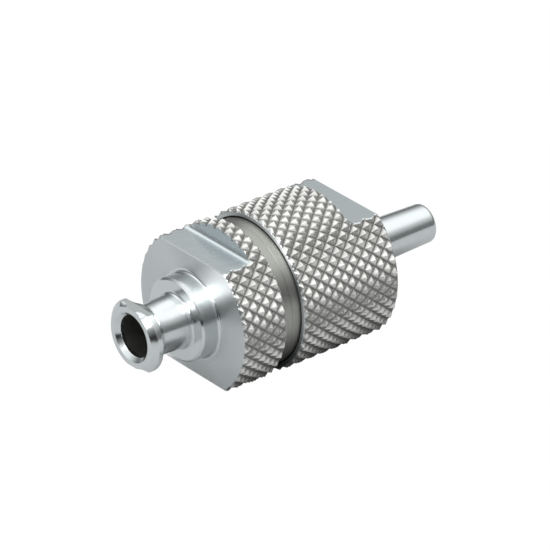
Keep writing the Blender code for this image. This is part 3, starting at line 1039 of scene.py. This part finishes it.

# The painted shade in the floor's colour under the grips: how far from the middle it ends to the
# sides, before the inlet and behind the outlet, as the start and end of its soft edge, and the
# light left in it
PAINTED_SHADE_SIDES = (5 * MM, 17 * MM)
PAINTED_SHADE_BEFORE = (9 * MM, 14 * MM)
PAINTED_SHADE_BEHIND = (12 * MM, 24 * MM)
PAINTED_SHADE_LEVEL = 0.22

# The card's x, then its low and high y and its low and high z
CARD = (-62.0 * MM, -70.0 * MM, 30.0 * MM, -8.2 * MM, 5.0 * MM)
CARD_BLACK = (0.01, 0.01, 0.01)

# Name, place, width, height (metres) and radiance of each soft light, which faces the origin
SOFTBOXES = (
    ("front light", (-0.60, 0.02, 0.18), 0.26, 0.16, 8.0),
    ("fill light", (-0.34, -0.18, 0.46), 0.34, 0.26, 2.3),
)

# Brightness of the surround by height: the sine of the elevation, then the value
SURROUND = (
    (0.0, 0.17),
    (0.30, 0.21),
    (0.45, 0.50),
    (0.58, 0.72),
    (0.70, 1.30),
    (0.86, 1.40),
    (1.0, 0.9),
)
SURROUND_TOP = 2.0
SURROUND_TINT = (0.98, 1.0, 1.0)


def ramp_value(tree, value, low, high):
    """Smooth step from 0 at low to 1 at high."""
    inputs = {"Value": value, "From Min": low, "From Max": high}
    return add_node(tree, "ShaderNodeMapRange", inputs, interpolation_type="SMOOTHSTEP")[0]


def make_sheet(name, corners):
    """Make one square face with a matt material: its object, tree, shader and coordinates."""
    material, tree, shader, position = new_material(name + " paint")
    feed(tree, shader, {"Roughness": 0.9, "Specular IOR Level": 0.0})
    mesh = bpy.data.meshes.new(name)
    mesh.from_pydata(corners, [], [(0, 1, 2, 3)])
    mesh.materials.append(material)
    sheet = bpy.data.objects.new(name, mesh)
    bpy.context.scene.collection.objects.link(sheet)
    return sheet, tree, shader, position


def make_floor(studio):
    """Pale floor under the lowest grip; it looks white to the camera and pale grey in the steel.

    Its colour carries a painted shade right under the two grips, where little light gets in, so the
    steel sees it darker there.
    """
    size, z = FLOOR_SIZE, -GRIP_R
    corners = [(-size, -size, z), (size, -size, z), (size, size, z), (-size, size, z)]
    floor, tree, shader, position = make_sheet("floor", corners)
    x, y, _ = split_vector(tree, position)
    beside = ramp_value(tree, math_node(tree, "ABSOLUTE", y), *PAINTED_SHADE_SIDES)
    before = ramp_value(tree, math_node(tree, "MULTIPLY", x, -1.0), *PAINTED_SHADE_BEFORE)
    behind = ramp_value(tree, x, *PAINTED_SHADE_BEHIND)
    bare = math_node(tree, "MAXIMUM", beside, math_node(tree, "MAXIMUM", before, behind))
    # Painted shade: the floor's colour is darkened under the grips and fades out over soft edges.
    paint = mix_colors(tree, bare, rgba(studio.floor, PAINTED_SHADE_LEVEL), rgba(studio.floor))
    feed(tree, shader, {"Base Color": paint})
    white = add_node(tree, "ShaderNodeEmission", {"Strength": FLOOR_WHITE})[0]
    seen = add_node(tree, "ShaderNodeLightPath")["Is Camera Ray"]
    share = math_node(tree, "MULTIPLY", seen, FLOOR_SHARE)
    inputs = {0: share, 1: shader.outputs[0], 2: white}
    both = add_node(tree, "ShaderNodeMixShader", inputs)[0]
    feed(tree, tree.nodes["Material Output"], {"Surface": both})


def make_card():
    """Black card that stands low in front of the inlet, so that its face shows a dark sector."""
    x, low_y, high_y, low_z, high_z = CARD
    corners = [(x, low_y, low_z), (x, high_y, low_z), (x, high_y, high_z), (x, low_y, high_z)]
    card, tree, shader, _ = make_sheet("card", corners)
    feed(tree, shader, {"Base Color": rgba(CARD_BLACK)})
    card.visible_camera = False
    card.visible_shadow = False


def facing(place, away):
    """Matrix of a light or camera at a place, with its back towards away and its top upwards."""
    return Matrix.Translation(place) @ away.to_track_quat("Z", "Y").to_matrix().to_4x4()


def make_lights():
    """Soft lights as flat panels that face the object."""
    for name, place, width, height, radiance in SOFTBOXES:
        data = bpy.data.lights.new(name, "AREA")
        data.shape = "RECTANGLE"
        data.size, data.size_y = width, height
        data.energy = radiance * width * height * math.pi
        lamp = bpy.data.objects.new(name, data)
        lamp.matrix_world = facing(place, Vector(place))
        lamp.visible_camera = False
        bpy.context.scene.collection.objects.link(lamp)


def make_surround():
    """World that is lit from above; the camera sees it as plain white."""
    world = bpy.data.worlds.new("studio")
    bpy.context.scene.world = world
    world.use_nodes = True
    tree = world.node_tree
    up = split_vector(tree, add_node(tree, "ShaderNodeTexCoord")["Generated"])[2]
    ramp = tree.nodes.new("ShaderNodeValToRGB")
    feed(tree, ramp, {0: up})
    stops = ramp.color_ramp.elements
    while len(stops) < len(SURROUND):
        stops.new(1.0)
    for stop, (height, value) in zip(stops, SURROUND):
        stop.position = height
        stop.color = rgba(SURROUND_TINT, value / SURROUND_TOP)
    seen = add_node(tree, "ShaderNodeLightPath")["Is Camera Ray"]
    white = rgba((1.0, 1.0, 1.0), 1.0 / SURROUND_TOP)
    shade = mix_colors(tree, seen, ramp.outputs[0], white)
    feed(tree, tree.nodes["Background"], {"Color": shade, "Strength": SURROUND_TOP})


def make_camera(scene, studio):
    """Camera at an azimuth, elevation and distance from its aim, level with the horizon."""
    azimuth, elevation = studio.azimuth, studio.elevation
    level = math.cos(elevation)
    away = (math.sin(azimuth) * level, -math.cos(azimuth) * level, math.sin(elevation))
    away = Vector(away)
    data = bpy.data.cameras.new("camera")
    data.lens = studio.lens
    data.sensor_width = 36.0
    data.clip_start, data.clip_end = 0.01, 10.0
    camera = bpy.data.objects.new("camera", data)
    camera.matrix_world = facing(Vector(studio.aim) + away * studio.distance, away)
    scene.collection.objects.link(camera)
    scene.camera = camera
    scene.view_settings.view_transform = "Standard"


# ---------------------------------------------------------------- operators


class DIFFUSER_OT_cap(bpy.types.Operator):
    """Build the inlet cap"""

    bl_idname = "diffuser.cap"
    bl_label = "Inlet Cap"

    def execute(self, context):
        scene = context.scene
        materials = steels("cap", scene.diffuser_finish, scene.diffuser_grip)
        bands = cap_bands(scene.diffuser_cap, scene.diffuser_grip, scene.diffuser_thread)
        cap = make_piece("cap_housing", bands, materials)
        place_piece(cap, "inlet_half", "inlet_cap")
        return {"FINISHED"}


class DIFFUSER_OT_body(bpy.types.Operator):
    """Build the outlet body"""

    bl_idname = "diffuser.body"
    bl_label = "Outlet Body"

    def execute(self, context):
        scene = context.scene
        materials = steels("body", scene.diffuser_finish, scene.diffuser_grip)
        bands = body_bands(scene.diffuser_body, scene.diffuser_grip, scene.diffuser_thread)
        body = make_piece("body_housing", bands, materials)
        place_piece(body, "outlet_half", "outlet_body")
        return {"FINISHED"}


class DIFFUSER_OT_seals(bpy.types.Operator):
    """Build the sealing ring and the flat gasket"""

    bl_idname = "diffuser.seals"
    bl_label = "Ring and Gasket"

    def execute(self, context):
        finish = context.scene.diffuser_finish
        deep = (0.015, 0.015, 0.016)
        rubber = grained("ring rubber", finish.rubber, deep, 0.5, 0.05, 0.004 * MM)
        cord = RING_HIGH.x - RING_LOW.x
        ring = torus((RING_LOW.x + RING_HIGH.x) / 2, ring_radius(cord), cord)
        ring = make_piece("seal_ring", [ring], {TURNED: rubber})
        place_piece(ring, "cap_travel", "o_ring")
        deep = (0.7, 0.7, 0.68)
        white = grained("gasket polymer", finish.gasket, deep, 0.45, 0.09, 0.003 * MM)
        outer = GASKET_HIGH.y
        inner, edge = outer - 1.5 * MM, 0.08 * MM
        outline = washer_outline(GASKET_LOW.x, GASKET_HIGH.x, inner, outer, edge)
        gasket = make_piece("seat_gasket", [plain(outline, TURNED)], {TURNED: white})
        place_piece(gasket, "outlet_half", "flat_gasket")
        return {"FINISHED"}


class DIFFUSER_OT_stack(bpy.types.Operator):
    """Build the porous disc and its support screen"""

    bl_idname = "diffuser.stack"
    bl_label = "Disc and Screen"

    def execute(self, context):
        scene = context.scene
        finish, screen = scene.diffuser_finish, scene.diffuser_screen
        deep, edge, grain = (0.45, 0.44, 0.4), 0.15 * MM, 0.02 * MM
        ceramic = grained("disc ceramic", finish.ceramic, deep, 0.85, 0.07, grain)
        bands = disc_bands(DISC_LOW.x, DISC_HIGH.x, DISC_HIGH.y, edge, grain)
        disc = make_piece("porous_disc", bands, {TURNED: ceramic}, closed=False)
        place_piece(disc, "outlet_half", "diffuser_disc")
        sheet = {MILLED: milled_steel("screen sheet", finish.screen, 0.35)}
        low, high = SCREEN_LOW.x, SCREEN_HIGH.x
        plate = screen_mesh("screen_plate", low, high, SCREEN_HIGH.y, screen, sheet)
        place_piece(plate, "outlet_half", "support_screen")
        return {"FINISHED"}


class DIFFUSER_OT_studio(bpy.types.Operator):
    """Build the floor, the lights and the camera"""

    bl_idname = "diffuser.studio"
    bl_label = "Studio"

    def execute(self, context):
        studio = context.scene.diffuser_studio
        make_floor(studio)
        make_card()
        make_lights()
        make_surround()
        make_camera(context.scene, studio)
        return {"FINISHED"}


class DIFFUSER_PT_panel(bpy.types.Panel):
    """Lists the pieces of the diffuser"""

    bl_label = "Gas Diffuser"
    bl_idname = "DIFFUSER_PT_panel"
    bl_space_type = "VIEW_3D"
    bl_region_type = "UI"
    bl_category = "Diffuser"

    def draw(self, context):
        for maker in OPERATORS:
            self.layout.operator(maker.bl_idname)
        for key in SETTINGS:
            box = self.layout.box()
            group = getattr(context.scene, key)
            box.label(text=key.replace("_", " ").title())
            for item in group.bl_rna.properties:
                if item.identifier not in ("rna_type", "name"):
                    box.prop(group, item.identifier)


OPERATORS = (
    DIFFUSER_OT_cap,
    DIFFUSER_OT_body,
    DIFFUSER_OT_seals,
    DIFFUSER_OT_stack,
    DIFFUSER_OT_studio,
)
SETTINGS = {
    "diffuser_grip": GripSettings,
    "diffuser_thread": ThreadSettings,
    "diffuser_cap": CapSettings,
    "diffuser_body": BodySettings,
    "diffuser_screen": ScreenSettings,
    "diffuser_finish": FinishSettings,
    "diffuser_studio": StudioSettings,
}
CLASSES = tuple(SETTINGS.values()) + OPERATORS + (DIFFUSER_PT_panel,)


def register():
    """Register the classes and attach the settings to the scene."""
    for item in CLASSES:
        bpy.utils.register_class(item)
    for key, group in SETTINGS.items():
        setattr(bpy.types.Scene, key, PointerProperty(type=group))


def unregister():
    """Remove the settings and the classes."""
    for key in SETTINGS:
        delattr(bpy.types.Scene, key)
    for item in reversed(CLASSES):
        bpy.utils.unregister_class(item)


def main():
    """Build every piece and the studio."""
    register()
    bpy.ops.diffuser.cap()
    bpy.ops.diffuser.body()
    bpy.ops.diffuser.seals()
    bpy.ops.diffuser.stack()
    bpy.ops.diffuser.studio()


if __name__ == "__main__":
    main()
